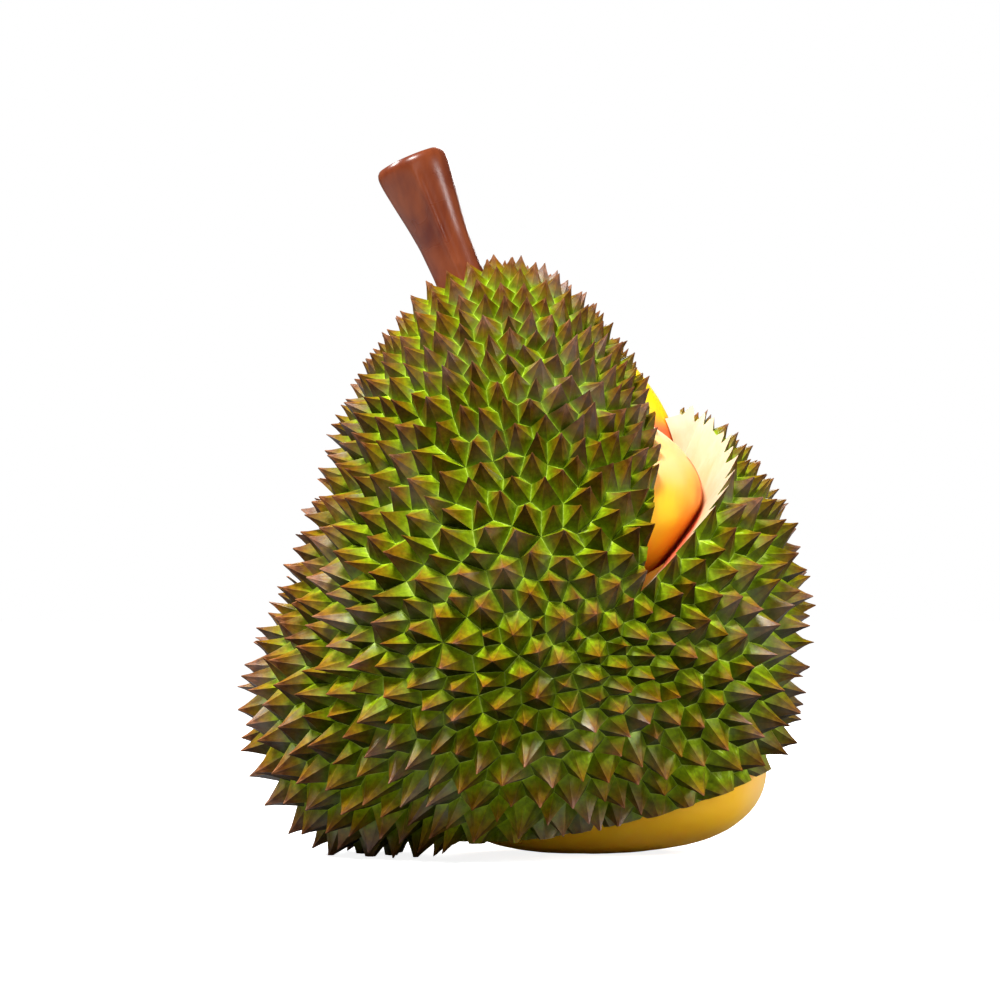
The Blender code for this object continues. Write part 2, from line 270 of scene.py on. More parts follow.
def placesOf(mesh):
    return readAll(mesh.vertices, "co", 3)


def mark(mesh, name, kind, domain, values):
    attribute = mesh.attributes.new(name, kind, domain)
    values = np.asarray(values, np.int32 if kind == "INT" else np.float32)
    attribute.data.foreach_set("vector" if kind == "FLOAT_VECTOR" else "value", values.ravel())


def getPoints(bm):
    return np.array([vertex.co[:] for vertex in bm.verts])


def setPoints(verts, points):
    for vertex, point in zip(verts, points):
        vertex.co = Vector(point)


def hullOf(points):
    bm = bmesh.new()
    for point in points:
        bm.verts.new(point)
    bmesh.ops.convex_hull(bm, input=bm.verts)
    bmesh.ops.delete(bm, geom=[v for v in bm.verts if not v.link_faces], context="VERTS")
    return bm


def makeObject(name, bm, materials=()):
    # moves a mesh in millimetres to its place in the frame
    bmesh.ops.translate(bm, verts=bm.verts, vec=Vector(middle))
    bmesh.ops.scale(bm, vec=(mm, mm, mm), verts=bm.verts)
    mesh = bpy.data.meshes.new(name)
    bm.to_mesh(mesh)
    bm.free()
    made = bpy.data.objects.new(name, mesh)
    bpy.context.scene.collection.objects.link(made)
    for material in materials:
        mesh.materials.append(material)
    return made


def spikeCells():
    # one many-sided face under each spike: corners in the grooves, and a point halfway along each side
    sites, rimCount = spikeSites()
    centre = np.array(skin["centre"])
    hull = hullOf(unit(sites - centre))
    setPoints(hull.verts, sites)
    bmesh.ops.beautify_fill(hull, faces=hull.faces, edges=hull.edges, method="ANGLE")
    bmesh.ops.recalc_face_normals(hull, faces=hull.faces)
    hull.verts.index_update()
    hull.edges.index_update()
    hull.faces.index_update()
    corners = onSkin(np.array([face.calc_center_median()[:] for face in hull.faces]) - centre)
    ends = np.array([[face.index for face in edge.link_faces] for edge in hull.edges])
    # close up the short sides, shortest first, while both spikes beside a side keep four flanks
    owners = np.array([[vertex.index for vertex in edge.verts] for edge in hull.edges])
    length = np.linalg.norm(corners[ends[:, 0]] - corners[ends[:, 1]], axis=1)
    length /= spikePitch(corners[ends].mean(axis=1))
    flanks = np.bincount(owners.ravel(), minlength=len(sites))
    closed = np.zeros(len(ends), bool)
    joined = np.arange(len(corners))
    size = np.ones(len(corners), int)
    for side in np.argsort(length):
        first, second = joined[ends[side]]
        if length[side] > spikes["shortSide"] or size[first] + size[second] > 3 or first == second:
            continue
        if (flanks[owners[side]] > 4).all():
            closed[side] = True
            flanks[owners[side]] -= 1
            size[first] += size[second]
            joined[joined == second] = first
    merged = np.array([corners[joined == group].mean(axis=0) for group in joined])
    corners = onSkin(merged - centre)
    halfway = corners[ends].mean(axis=1)
    cells = bmesh.new()
    cornerVerts = [cells.verts.new(corners[i]) for i in np.unique(joined)]
    cornerOf = dict(zip(np.unique(joined), cornerVerts))
    sideVerts = [None if shut else cells.verts.new(point) for shut, point in zip(closed, halfway)]
    for vertex in hull.verts:
        loop = start = vertex.link_loops[0]
        outline = []
        while True:
            side = loop.link_loop_prev.edge.index
            outline.append(cornerOf[joined[loop.face.index]])
            if not closed[side]:
                outline.append(sideVerts[side])
            loop = loop.link_loop_prev.link_loop_radial_next
            if loop == start:
                break
        outline = [v for i, v in enumerate(outline) if v != outline[i - 1]]
        cells.faces.new(outline)
    hull.free()
    made = makeObject("rindCells", cells)
    mesh = made.data
    mark(mesh, "ridge", "FLOAT", "POINT", [1.0] * len(cornerVerts) + [0.0] * (len(halfway) - closed.sum()))
    random = np.random.default_rng(spikes["seed"] + 2)
    for name, points in (("foot", sites), ("tip", spikeTips(sites, rimCount))):
        mark(mesh, name, "FLOAT_VECTOR", "FACE", (points + middle) * mm)
    mark(mesh, "tint", "FLOAT", "FACE", random.uniform(0, 1, len(sites)))
    return made


def spikeTree():
    # grows a ridged, hollow-flanked spike from each face towards the face's tip
    tree = bpy.data.node_groups.new("growSpikes", "GeometryNodeTree")
    sockets = (("Cells", "NodeSocketGeometry"), ("Rings", "NodeSocketInt"), ("Flare", "NodeSocketFloat"),
               ("Hollow Flank", "NodeSocketFloat"), ("Blunt", "NodeSocketFloat"),
               ("Row Spread", "NodeSocketFloat"), ("Rind", "NodeSocketMaterial"))
    for name, kind in sockets:
        tree.interface.new_socket(name, in_out="INPUT", socket_type=kind)
    tree.interface.new_socket("Spikes", in_out="OUTPUT", socket_type="NodeSocketGeometry")
    given = addNode(tree, "NodeGroupInput")
    cells = given.outputs["Cells"]
    position = addNode(tree, "GeometryNodeInputPosition")
    stored = (("seat", position, "FLOAT_VECTOR", "POINT"), ("rise", 0.0, "FLOAT", "POINT"),
              ("crown", True, "BOOLEAN", "FACE"))
    for name, value, kind, domain in stored:
        cells = addNode(tree, "GeometryNodeStoreNamedAttribute", {
            "Geometry": cells, "Name": name, "Value": value}, data_type=kind, domain=domain)
    crown, ridge, foot, tip, seat = [
        addNode(tree, "GeometryNodeInputNamedAttribute", {"Name": name}, data_type=kind)
        for name, kind in (("crown", "BOOLEAN"), ("ridge", "FLOAT"), ("foot", "FLOAT_VECTOR"),
                           ("tip", "FLOAT_VECTOR"), ("seat", "FLOAT_VECTOR"))]
    start = addNode(tree, "GeometryNodeRepeatInput")
    end = addNode(tree, "GeometryNodeRepeatOutput")
    start.pair_with_output(end)
    plug(start, {"Geometry": cells, "Iterations": given.outputs["Rings"]})
    raised = addNode(tree, "GeometryNodeExtrudeMesh", {
        "Mesh": start.outputs["Geometry"], "Selection": crown, "Offset Scale": 0.0, "Individual": True},
        mode="FACES")
    # share of the way up, from 0 in the groove to 1 at the tip
    step = addNode(tree, "ShaderNodeMath", {0: start.outputs["Iteration"], 1: 1.0}, operation="ADD")
    share = addNode(tree, "ShaderNodeMath", {0: step, 1: given.outputs["Rings"]}, operation="DIVIDE")
    height = addNode(tree, "ShaderNodeMath", {0: share, 1: given.outputs["Row Spread"]}, operation="POWER")
    left = addNode(tree, "ShaderNodeMath", {0: 1.0, 1: height}, operation="SUBTRACT")
    drawn = addNode(tree, "ShaderNodeMath", {0: left, 1: given.outputs["Flare"]}, operation="POWER")
    width = addNode(tree, "ShaderNodeMath", {0: drawn, 1: given.outputs["Blunt"]}, operation="MAXIMUM")
    flank = addNode(tree, "ShaderNodeMath", {0: 1.0, 1: ridge}, operation="SUBTRACT")
    sunk = addNode(tree, "ShaderNodeMath", {0: flank, 1: given.outputs["Hollow Flank"]}, operation="MULTIPLY")
    kept = addNode(tree, "ShaderNodeMath", {0: 1.0, 1: sunk}, operation="SUBTRACT")
    spread = addNode(tree, "ShaderNodeMath", {0: width, 1: kept}, operation="MULTIPLY")
    stem = addNode(tree, "ShaderNodeVectorMath", {0: tip, 1: foot}, operation="SUBTRACT")
    out = addNode(tree, "ShaderNodeVectorMath", {0: seat, 1: foot}, operation="SUBTRACT")
    up = addNode(tree, "ShaderNodeVectorMath", {0: stem, "Scale": height}, operation="SCALE")
    along = addNode(tree, "ShaderNodeVectorMath", {0: out, "Scale": spread}, operation="SCALE")
    moved = addNode(tree, "ShaderNodeVectorMath", {0: up, 1: along}, operation="ADD")
    place = addNode(tree, "ShaderNodeVectorMath", {0: foot, 1: moved}, operation="ADD")
    placed = addNode(tree, "GeometryNodeSetPosition", {
        "Geometry": raised.outputs["Mesh"], "Selection": raised.outputs["Top"], "Position": place})
    risen = addNode(tree, "GeometryNodeStoreNamedAttribute", {
        "Geometry": placed, "Selection": raised.outputs["Top"], "Name": "rise",
        "Value": height}, data_type="FLOAT", domain="POINT")
    topped = addNode(tree, "GeometryNodeStoreNamedAttribute", {
        "Geometry": risen, "Name": "crown", "Value": raised.outputs["Top"]},
        data_type="BOOLEAN", domain="FACE")
    plug(end, {"Geometry": topped})
    single = addNode(tree, "GeometryNodeRealizeInstances", {"Geometry": end.outputs["Geometry"]})
    painted = addNode(tree, "GeometryNodeSetMaterial", {
        "Geometry": single, "Material": given.outputs["Rind"]})
    addNode(tree, "NodeGroupOutput", {0: painted})
    return tree


# the solids that open the husk
def hollow():
    bm = bmesh.new()
    bmesh.ops.create_icosphere(bm, subdivisions=5, radius=1.0)
    ways = getPoints(bm)
    surface = onSkin(ways)
    depth = np.full(len(ways), skin["wall"])
    for place, reach, extra in skin["thickPith"]:
        depth += extra * np.exp(-(((surface - np.array(place)) / np.array(reach)) ** 2).sum(axis=1))
    setPoints(bm.verts, onSkin(ways, depth))
    return bm


def blockBehind(planes):
    # a block cut down to what lies in front of every plane, each a point and a normal
    bm = bmesh.new()
    bmesh.ops.create_cube(bm, size=2 * opening["far"])
    bmesh.ops.translate(bm, verts=bm.verts, vec=skin["centre"])
    for point, normal in planes:
        everything = [*bm.verts, *bm.edges, *bm.faces]
        cut = bmesh.ops.bisect_plane(bm, geom=everything, plane_co=point, plane_no=normal, clear_inner=True)
        edges = [item for item in cut["geom_cut"] if isinstance(item, bmesh.types.BMEdge)]
        bmesh.ops.contextual_create(bm, geom=edges)
    return bm


def nearSkin(x, z):
    depths = np.linspace(-140.0, opening["core"][1], 400)
    points = np.stack([np.full_like(depths, x), depths, np.full_like(depths, z)], axis=1)
    inside = skinDistance(points) < 0
    return points[np.argmax(inside)] if inside.any() else points[-1]


def splitCone(outline):
    core = np.array(opening["core"])
    ways = unit(np.array([nearSkin(x, z) - core for x, z in outline]))
    return hullOf([core, *(core + opening["far"] * ways)])


def belowRimArc():
    radius, startX, startZ, width = opening["rimArc"]
    along = np.linspace(0, width, 15)
    rise = radius - np.sqrt(radius**2 - along**2)
    outline = [(startX + step, startZ + height) for step, height in zip(along, rise)]
    lead, low = opening["rimLead"]
    far = opening["far"]
    outline = [(startX - lead, low), *outline, (startX + width, -far), (startX - lead, -far)]
    bm = bmesh.new()
    face = bm.faces.new([bm.verts.new((x, -far, z)) for x, z in outline])
    swept = bmesh.ops.extrude_face_region(bm, geom=[face])["geom"]
    moving = [v for v in swept if isinstance(v, bmesh.types.BMVert)]
    bmesh.ops.translate(bm, verts=moving, vec=(0, 2 * far, 0))
    return bm


def openings():
    rim = opening["rim"]
    low, high, sky = opening["edgeLow"], opening["edgeHigh"], opening["sky"]
    side = ((opening["rightSide"], 0.0, 0.0), (-1.0, 0.0, 0.0))
    depth = ((0.0, opening["rightDepth"], 0.0), (0.0, 1.0, 0.0))
    return {
        "splitLow": splitCone([*rim, sky, low]),
        "splitHigh": splitCone([low, *rim[3:], sky, high]),
        "front": blockBehind([opening["backEdge"], opening["cupEdge"], side]),
        "rightValveFront": blockBehind([depth, opening["cupEdge"]]),
        "rightValveTop": blockBehind([((x, 0.0, z), way) for x, z, way in opening["topCorner"]]),
    }


def rindMaterial():
    # waxy rind, semi-gloss: lime in the grooves, olive flanks, brown towards the tips, painted highlights
    # along the ridges, and painted light and shade by which way each flank faces
    material, tree, shader = newMaterial("waxyDurianRind")
    look = rindLook
    rise, tint, ridge, grain, sunny = [addNode(tree, "ShaderNodeAttribute", attribute_name=name)
                                       for name in ("rise", "tint", "ridge", "grain", "sunny")]
    place = addNode(tree, "ShaderNodeTexCoord").outputs["Object"]
    # streaks run from groove to tip, so the grain's own coordinates are long that way
    streak = addNode(tree, "ShaderNodeTexNoise", {
        "Vector": grain.outputs["Vector"], "Scale": look["streakScale"], "Detail": 4.0, "Roughness": 0.6})
    patch = addNode(tree, "ShaderNodeTexNoise", {
        "Vector": place, "Scale": 1000 / look["patchMm"], "Detail": 3.0, "Roughness": 0.55})
    # browning starts lower on the spikes near the stalk and on the left valve
    apart = addNode(tree, "ShaderNodeSeparateXYZ", {0: place})
    high = addNode(tree, "ShaderNodeMapRange", {
        "Value": apart.outputs["Z"], "From Min": look["topFrom"][0], "From Max": look["topFrom"][1],
        "To Max": look["brownAtTop"]})
    left = addNode(tree, "ShaderNodeMapRange", {
        "Value": apart.outputs["X"], "From Min": look["leftFrom"][0], "From Max": look["leftFrom"][1],
        "To Max": look["brownAtLeft"]})
    region = addNode(tree, "ShaderNodeMath", {0: high, 1: left}, operation="MAXIMUM")
    own = addNode(tree, "ShaderNodeMapRange", {
        "Value": tint, "To Min": -look["spikeVariation"], "To Max": look["spikeVariation"]})
    drift = addNode(tree, "ShaderNodeMapRange", {
        "Value": patch, "From Min": 0.3, "From Max": 0.7, "To Min": -look["patchVariation"],
        "To Max": look["patchVariation"]})
    streaked = addNode(tree, "ShaderNodeMapRange", {
        "Value": streak, "From Min": 0.25, "From Max": 0.75, "To Min": -look["streakVariation"],
        "To Max": look["streakVariation"]})
    # painted light and shade: flanks that face up are painted greener and paler, those that face down browner
    shaded = addNode(tree, "ShaderNodeMapRange", {
        "Value": sunny, "To Min": look["paintedShadeBrowning"], "To Max": -look["paintedShadeBrowning"]})
    shift = region
    for part in (own, drift, streaked, shaded):
        shift = addNode(tree, "ShaderNodeMath", {0: shift, 1: part}, operation="ADD")
    # the shift fades out in the grooves, which stay green all over
    above = addNode(tree, "ShaderNodeMapRange", {"Value": rise, "From Max": look["greenGroove"]})
    faded = addNode(tree, "ShaderNodeMath", {0: shift, 1: above}, operation="MULTIPLY")
    level = addNode(tree, "ShaderNodeMath", {0: rise, 1: faded}, operation="ADD")
    colours = addNode(tree, "ShaderNodeValToRGB", {0: level})
    fillRamp(colours.color_ramp.elements, look["colours"])
    # painted highlight: a pale line along each ridge, clearest near the tip; the same mask also raises the
    # ridges' real shine below
    edge = addNode(tree, "ShaderNodeMapRange", {
        "Value": ridge, "From Min": look["ridgeFrom"], "From Max": 1.0,
        "To Max": look["ridgeHighlightShare"]})
    upper = addNode(tree, "ShaderNodeMapRange", {"Value": rise, "From Min": 0.15, "From Max": 0.7})
    ridgeGlossAndPaintedHighlight = addNode(tree, "ShaderNodeMath", {0: edge, 1: upper}, operation="MULTIPLY")
    paintedRidgeHighlight = addNode(tree, "ShaderNodeMix", {
        0: ridgeGlossAndPaintedHighlight, 6: colours, 7: linear(look["ridgeHighlightColour"])}, data_type="RGBA")
    # darker and lighter flecks
    fleck = addNode(tree, "ShaderNodeTexNoise", {
        "Vector": place, "Scale": 1000 / look["fleckMm"], "Detail": 2.0})
    flecked = addNode(tree, "ShaderNodeMapRange", {
        "Value": fleck, "From Min": 0.3, "From Max": 0.7, "To Min": look["flecks"][0],
        "To Max": look["flecks"][1]})
    # painted light and shade: on top of its flecks, each flank is painted brighter the more it faces up and
    # darker the more it faces down
    lit = addNode(tree, "ShaderNodeMapRange", {
        "Value": sunny, "To Min": look["paintedShadeBelow"], "To Max": look["paintedLightAbove"]})
    tone = addNode(tree, "ShaderNodeMath", {0: flecked, 1: lit}, operation="MULTIPLY")
    toned = addNode(tree, "ShaderNodeVectorMath", {0: paintedRidgeHighlight.outputs[2], "Scale": tone}, operation="SCALE")
    gloss = addNode(tree, "ShaderNodeMapRange", {
        "Value": streak, "From Min": 0.3, "From Max": 0.7, "To Min": look["roughness"][0],
        "To Max": look["roughness"][1]})
    pits = addNode(tree, "ShaderNodeTexNoise", {
        "Vector": place, "Scale": 1000 / look["pitMm"], "Detail": 3.0, "Roughness": 0.6})
    lines = addNode(tree, "ShaderNodeBump", {
        "Height": streak, "Strength": look["streakBump"], "Distance": 0.0006})
    bump = addNode(tree, "ShaderNodeBump", {
        "Height": pits, "Strength": look["pitBump"], "Distance": 0.0004,
        "Normal": lines})
    # the wax is thin: most flanks are matt, ridges and some patches shine
    shine = addNode(tree, "ShaderNodeMapRange", {
        "Value": patch, "From Min": look["shineFrom"][0], "From Max": look["shineFrom"][1],
        "To Min": look["matt"], "To Max": look["shine"]})
    edged = addNode(tree, "ShaderNodeMath", {0: ridgeGlossAndPaintedHighlight, 1: 0.5, 2: shine}, operation="MULTIPLY_ADD")
    plug(shader, {"Base Color": toned, "Roughness": gloss, "Normal": bump, "Specular IOR Level": edged,
                  "IOR": 1.46})
    return material


rindLook = {
    "colours": ((0.0, "#a8bc50"), (0.025, "#7f9a10"), (0.12, "#6c7e06"), (0.4, "#6a6004"), (0.7, "#6e4e04"),
                (0.92, "#60340e"), (1.0, "#7e4e2c")),
    "greenGroove": 0.3,  # share of a spike's height where its own shift of colour is full
    # the painted highlight along the ridges
    "ridgeHighlightColour": "#90602c",
    "ridgeHighlightShare": 0.35,
    "ridgeFrom": 0.86,
    # painted light and shade by which way a flank faces: a shift towards brown below, a darkening below and a
    # brightening above
    "paintedShadeBrowning": 0.1,
    "paintedShadeBelow": 0.0,
    "paintedLightAbove": 1.9,
    "matt": 0.12,
    "shine": 1.0,
    "shineFrom": (0.48, 0.66),
    "brownAtTop": 0.19,
    "topFrom": (0.13, 0.25),  # heights in metres
    "brownAtLeft": 0.2,
    "leftFrom": (-0.05, -0.11),
    "spikeVariation": 0.1,
    "patchVariation": 0.12,
    "streakVariation": 0.16,
    "streakScale": 3.2,
    "patchMm": 30.0,
    "fleckMm": 2.2,
    "pitMm": 0.7,
    "pitBump": 0.25,
    "streakBump": 0.4,
    "flecks": (0.72, 1.24),
    "roughness": (0.38, 0.55),
}

pithLook = {
    "outer": "#ecdfc4",
    "inner": "#e6cc9c",
    "stain": "#d8501c",
    "stainFrom": (0.86, 0.95),  # 1 is the pod's own outline
    "stainTo": (0.99, 1.035),
    "stainBack": (-0.01, 0.002),  # how far back it reaches, in metres
    "streakMm": 5.0,
    "roughness": 0.6,
}


def pithMaterial():
    # soft white pith, matt and slightly fibrous where a knife went through it
    material, tree, shader = newMaterial("cutDurianPith")
    look = pithLook
    place = addNode(tree, "ShaderNodeTexCoord").outputs["Object"]
    depth = addNode(tree, "ShaderNodeAttribute", attribute_name="depth")
    pulled = addNode(tree, "ShaderNodeMapping", {"Vector": place, "Scale": (1.0, 1.0, 0.35)})
    fibre = addNode(tree, "ShaderNodeTexNoise", {
        "Vector": pulled, "Scale": 1000 / look["streakMm"], "Detail": 5.0, "Roughness": 0.62})
    wander = addNode(tree, "ShaderNodeMapRange", {
        "Value": fibre, "From Min": 0.3, "From Max": 0.7, "To Min": -0.3, "To Max": 0.3})
    inward = addNode(tree, "ShaderNodeMath", {0: depth, 1: wander}, operation="ADD")
    inward = addNode(tree, "ShaderNodeClamp", {0: inward})
    colour = addNode(tree, "ShaderNodeMix", {
        0: inward, 6: linear(look["outer"]), 7: linear(look["inner"])}, data_type="RGBA")
    # stained red along the outline of the pod that lay in it
    _, centre, radii, turn, squareness = pods["shapes"][1]
    local = addNode(tree, "ShaderNodeMapping", {
        "Vector": place, "Location": (np.array(centre) + middle) * mm,
        "Rotation": (0.0, math.radians(turn), 0.0), "Scale": np.array(radii) * mm}, vector_type="TEXTURE")
    size = addNode(tree, "ShaderNodeVectorMath", {0: local}, operation="ABSOLUTE")
    size = addNode(tree, "ShaderNodeSeparateXYZ", {0: size})
    wide = addNode(tree, "ShaderNodeMath", {0: size.outputs["X"], 1: squareness}, operation="POWER")
    tall = addNode(tree, "ShaderNodeMath", {0: size.outputs["Z"], 1: squareness}, operation="POWER")
    both = addNode(tree, "ShaderNodeMath", {0: wide, 1: tall}, operation="ADD")
    stain = addNode(tree, "ShaderNodeMapRange", {
        "Value": both, "From Min": look["stainTo"][0], "From Max": look["stainTo"][1], "To Min": 0.85,
        "To Max": 0.0})
    apart = addNode(tree, "ShaderNodeSeparateXYZ", {0: place})
    front = addNode(tree, "ShaderNodeMapRange", {
        "Value": apart.outputs["Y"], "From Min": look["stainBack"][0], "From Max": look["stainBack"][1],
        "To Min": 1.0, "To Max": 0.0})
    stain = addNode(tree, "ShaderNodeMath", {0: stain, 1: front}, operation="MULTIPLY")
    inner = addNode(tree, "ShaderNodeMapRange", {
        "Value": both, "From Min": look["stainFrom"][0], "From Max": look["stainFrom"][1]})
    stain = addNode(tree, "ShaderNodeMath", {0: stain, 1: inner}, operation="MULTIPLY")
    colour = addNode(tree, "ShaderNodeMix", {
        0: stain, 6: colour.outputs[2], 7: linear(look["stain"])}, data_type="RGBA")
    bump = addNode(tree, "ShaderNodeBump", {"Height": fibre, "Strength": 0.3, "Distance": 0.001})
    plug(shader, {"Base Color": colour.outputs[2], "Normal": bump, "Roughness": look["roughness"]})
    return material


def growSpikes(cells, rind):
    tree = spikeTree()
    modifier = cells.modifiers.new("growSpikes", "NODES")
    modifier.node_group = tree
    chosen = {"Rings": spikes["rings"], "Flare": spikes["flare"], "Hollow Flank": spikes["hollowFlank"],
              "Blunt": spikes["blunt"], "Row Spread": spikes["rowSpread"], "Rind": rind}
    for item in tree.interface.items_tree:
        if item.in_out == "INPUT" and item.name in chosen:
            modifier[item.identifier] = chosen[item.name]
    graph = bpy.context.evaluated_depsgraph_get()
    grown = bpy.data.meshes.new_from_object(cells.evaluated_get(graph))
    cells.modifiers.clear()
    bpy.data.objects.remove(cells)
    return grown


def cutHusk(rind, pith):
    whole = growSpikes(spikeCells(), rind)
    mark(whole, "born", "INT", "FACE", np.arange(len(whole.polygons)))
    husk = bpy.data.objects.new("durianHusk", whole)
    bpy.context.scene.collection.objects.link(husk)
    solids = {
        "hollow": hollow(), **openings(), "rimArc": belowRimArc(),
        "baseRoom": podRoom("pod_base", pods["openWays"]), "upperRoom": podRoom("pod_back_upper"),
        "splitRoom": podRoom("pod_right", room=-1.0, side=pods["splitRoomFrom"]),
        "stalkRoom": stalkRoom(), "ground": blockBehind([((0.0, 0.0, 0.0), (0.0, 0.0, -1.0))])}
    tools = [makeObject(name, bm, [pith]) for name, bm in solids.items()]
    for tool in tools:
        cut = husk.modifiers.new(tool.name, "BOOLEAN")
        cut.operation = "DIFFERENCE"
        cut.solver = "MANIFOLD"
        cut.material_mode = "TRANSFER"
        cut.object = tool
    bpy.context.view_layer.update()
    graph = bpy.context.evaluated_depsgraph_get()
    opened = bpy.data.meshes.new_from_object(husk.evaluated_get(graph))
    husk.modifiers.clear()
    husk.data = opened
    for tool in tools:
        bpy.data.objects.remove(tool)
    keepLargest(opened)
    markRind(opened, whole)
    bpy.data.meshes.remove(whole)
    return husk


def keepLargest(mesh):
    # drops crumbs that the cuts leave floating
    bm = bmesh.new()
    bm.from_mesh(mesh)
    reached = set()
    bodies = []
    for vertex in bm.verts:
        if vertex in reached:
            continue
        waiting, body = [vertex], []
        reached.add(vertex)
        while waiting:
            current = waiting.pop()
            body.append(current)
            for edge in current.link_edges:
                other = edge.other_vert(current)
                if other not in reached:
                    reached.add(other)
                    waiting.append(other)
        bodies.append(body)
    bodies.sort(key=len)
    bmesh.ops.delete(bm, geom=[vertex for body in bodies[:-1] for vertex in body], context="VERTS")
    bm.to_mesh(mesh)
    bm.free()


def markRind(mesh, whole):
    # gives the points that the cuts made their share of the attributes of the face that they lie on
    old = placesOf(whole)
    known = {tuple(place): index for index, place in enumerate(np.round(old * 1e5).astype(int).tolist())}
    now = placesOf(mesh)
    rise, ridge = valuesOf(mesh, "rise"), valuesOf(mesh, "ridge")
    oldRise, oldRidge = valuesOf(whole, "rise"), valuesOf(whole, "ridge")
    born = readAll(mesh.attributes["born"].data, "value", kind=np.int32)
    slot = readAll(mesh.polygons, "material_index", kind=np.int32)
    rindSlot = [m.name for m in mesh.materials].index("waxyDurianRind")
    made = np.array([tuple(place) not in known for place in np.round(now * 1e5).astype(int).tolist()])
    for face in mesh.polygons:
        if slot[face.index] != rindSlot:
            continue
        for index in face.vertices:
            if made[index]:
                around = list(whole.polygons[born[face.index]].vertices)
                weight = 1 / (np.linalg.norm(old[around] - now[index], axis=1) ** 2 + 1e-12)
                weight /= weight.sum()
                rise[index] = (weight * oldRise[around]).sum()
                ridge[index] = (weight * oldRidge[around]).sum()
    mesh.attributes["rise"].data.foreach_set("value", rise)
    mesh.attributes["ridge"].data.foreach_set("value", ridge)
    # how far each face turns up, which the rind's painted light and shade follow
    mark(mesh, "sunny", "FLOAT", "FACE", 0.5 + 0.5 * readAll(mesh.polygons, "normal", 3)[:, 2])
    mark(mesh, "depth", "FLOAT", "POINT", np.clip(-skinDistance(now / mm - middle) / skin["wall"], 0, 1))
    # grain: round the spike and slowly up it, with each spike's own start
    count = readAll(mesh.polygons, "loop_total", kind=np.int32)
    face = np.repeat(np.arange(len(count)), count)
    vertex = readAll(mesh.loops, "vertex_index", kind=np.int32)
    foot, tip = valuesOf(mesh, "foot", 3)[face], valuesOf(mesh, "tip", 3)[face]
    axis = unit(tip - foot + 1e-9)
    out = now[vertex] - foot
    out -= axis * (out * axis).sum(axis=1, keepdims=True)
    side = unit(np.cross(axis, np.array([0.31, 0.52, 0.8])))
    other = np.cross(axis, side)
    turn = np.arctan2((out * other).sum(axis=1), (out * side).sum(axis=1))
    start = valuesOf(mesh, "tint")[face] * 40
    grain = np.stack([np.cos(turn) + start, np.sin(turn) + start, rise[vertex] * 0.5 + start], axis=1)
    mark(mesh, "grain", "FLOAT_VECTOR", "CORNER", grain)


# the stalk
stalk = {
    "foot": (-25.5, 0.0, 250.0),
    "top": (-52.8, 0.0, 314.2),
    "profile": ((0.0, 0.994), (12.0, 0.994), (15.4, 1.0), (16.8, 0.98), (17.1, 0.94), (16.6, 0.87),
                (15.1, 0.73), (13.4, 0.58), (12.1, 0.43), (11.5, 0.2), (12.4, 0.0), (0.0, 0.0)),
    "sides": 96,
    "gap": 0.4,
    "ribs": ((3, 0.30, 0.6, 0.0), (5, 0.22, 2.0, 0.02)),  # how many, how deep, first turn, twist a mm
    "ridgeWay": (-0.05, -1.0, 0.0),  # a ridge runs down this side
    "ridgeHeight": 1.2,
    "ridgeWidth": (0.12, 0.5),  # angles of the ridge and of the hollows beside it
    "ridgeStart": 30.0,
    "ridgeEnd": 0.93,
    "grainTurn": 0.408,
    "dark": "#5a2010",
    "red": "#84401f",
    "roughness": 0.27,
}


def stalkRoom():
    foot, axis = Vector(stalk["foot"]), Vector(stalk["top"]) - Vector(stalk["foot"])
    turned = axis.to_track_quat("Z", "Y").to_matrix()
    points = []
    for radius, share in stalk["profile"]:
        height = share * axis.length + (stalk["gap"] if share > 0 else -stalk["gap"])
        reach = radius + stalk["gap"] if radius else 0.0
        if share < 0.5:  # the part that stands in the husk
            for angle in np.linspace(0, 2 * math.pi, 24, endpoint=False):
                point = Vector((reach * math.cos(angle), reach * math.sin(angle), height))
                points.append(foot + turned @ point)
    return hullOf(points)


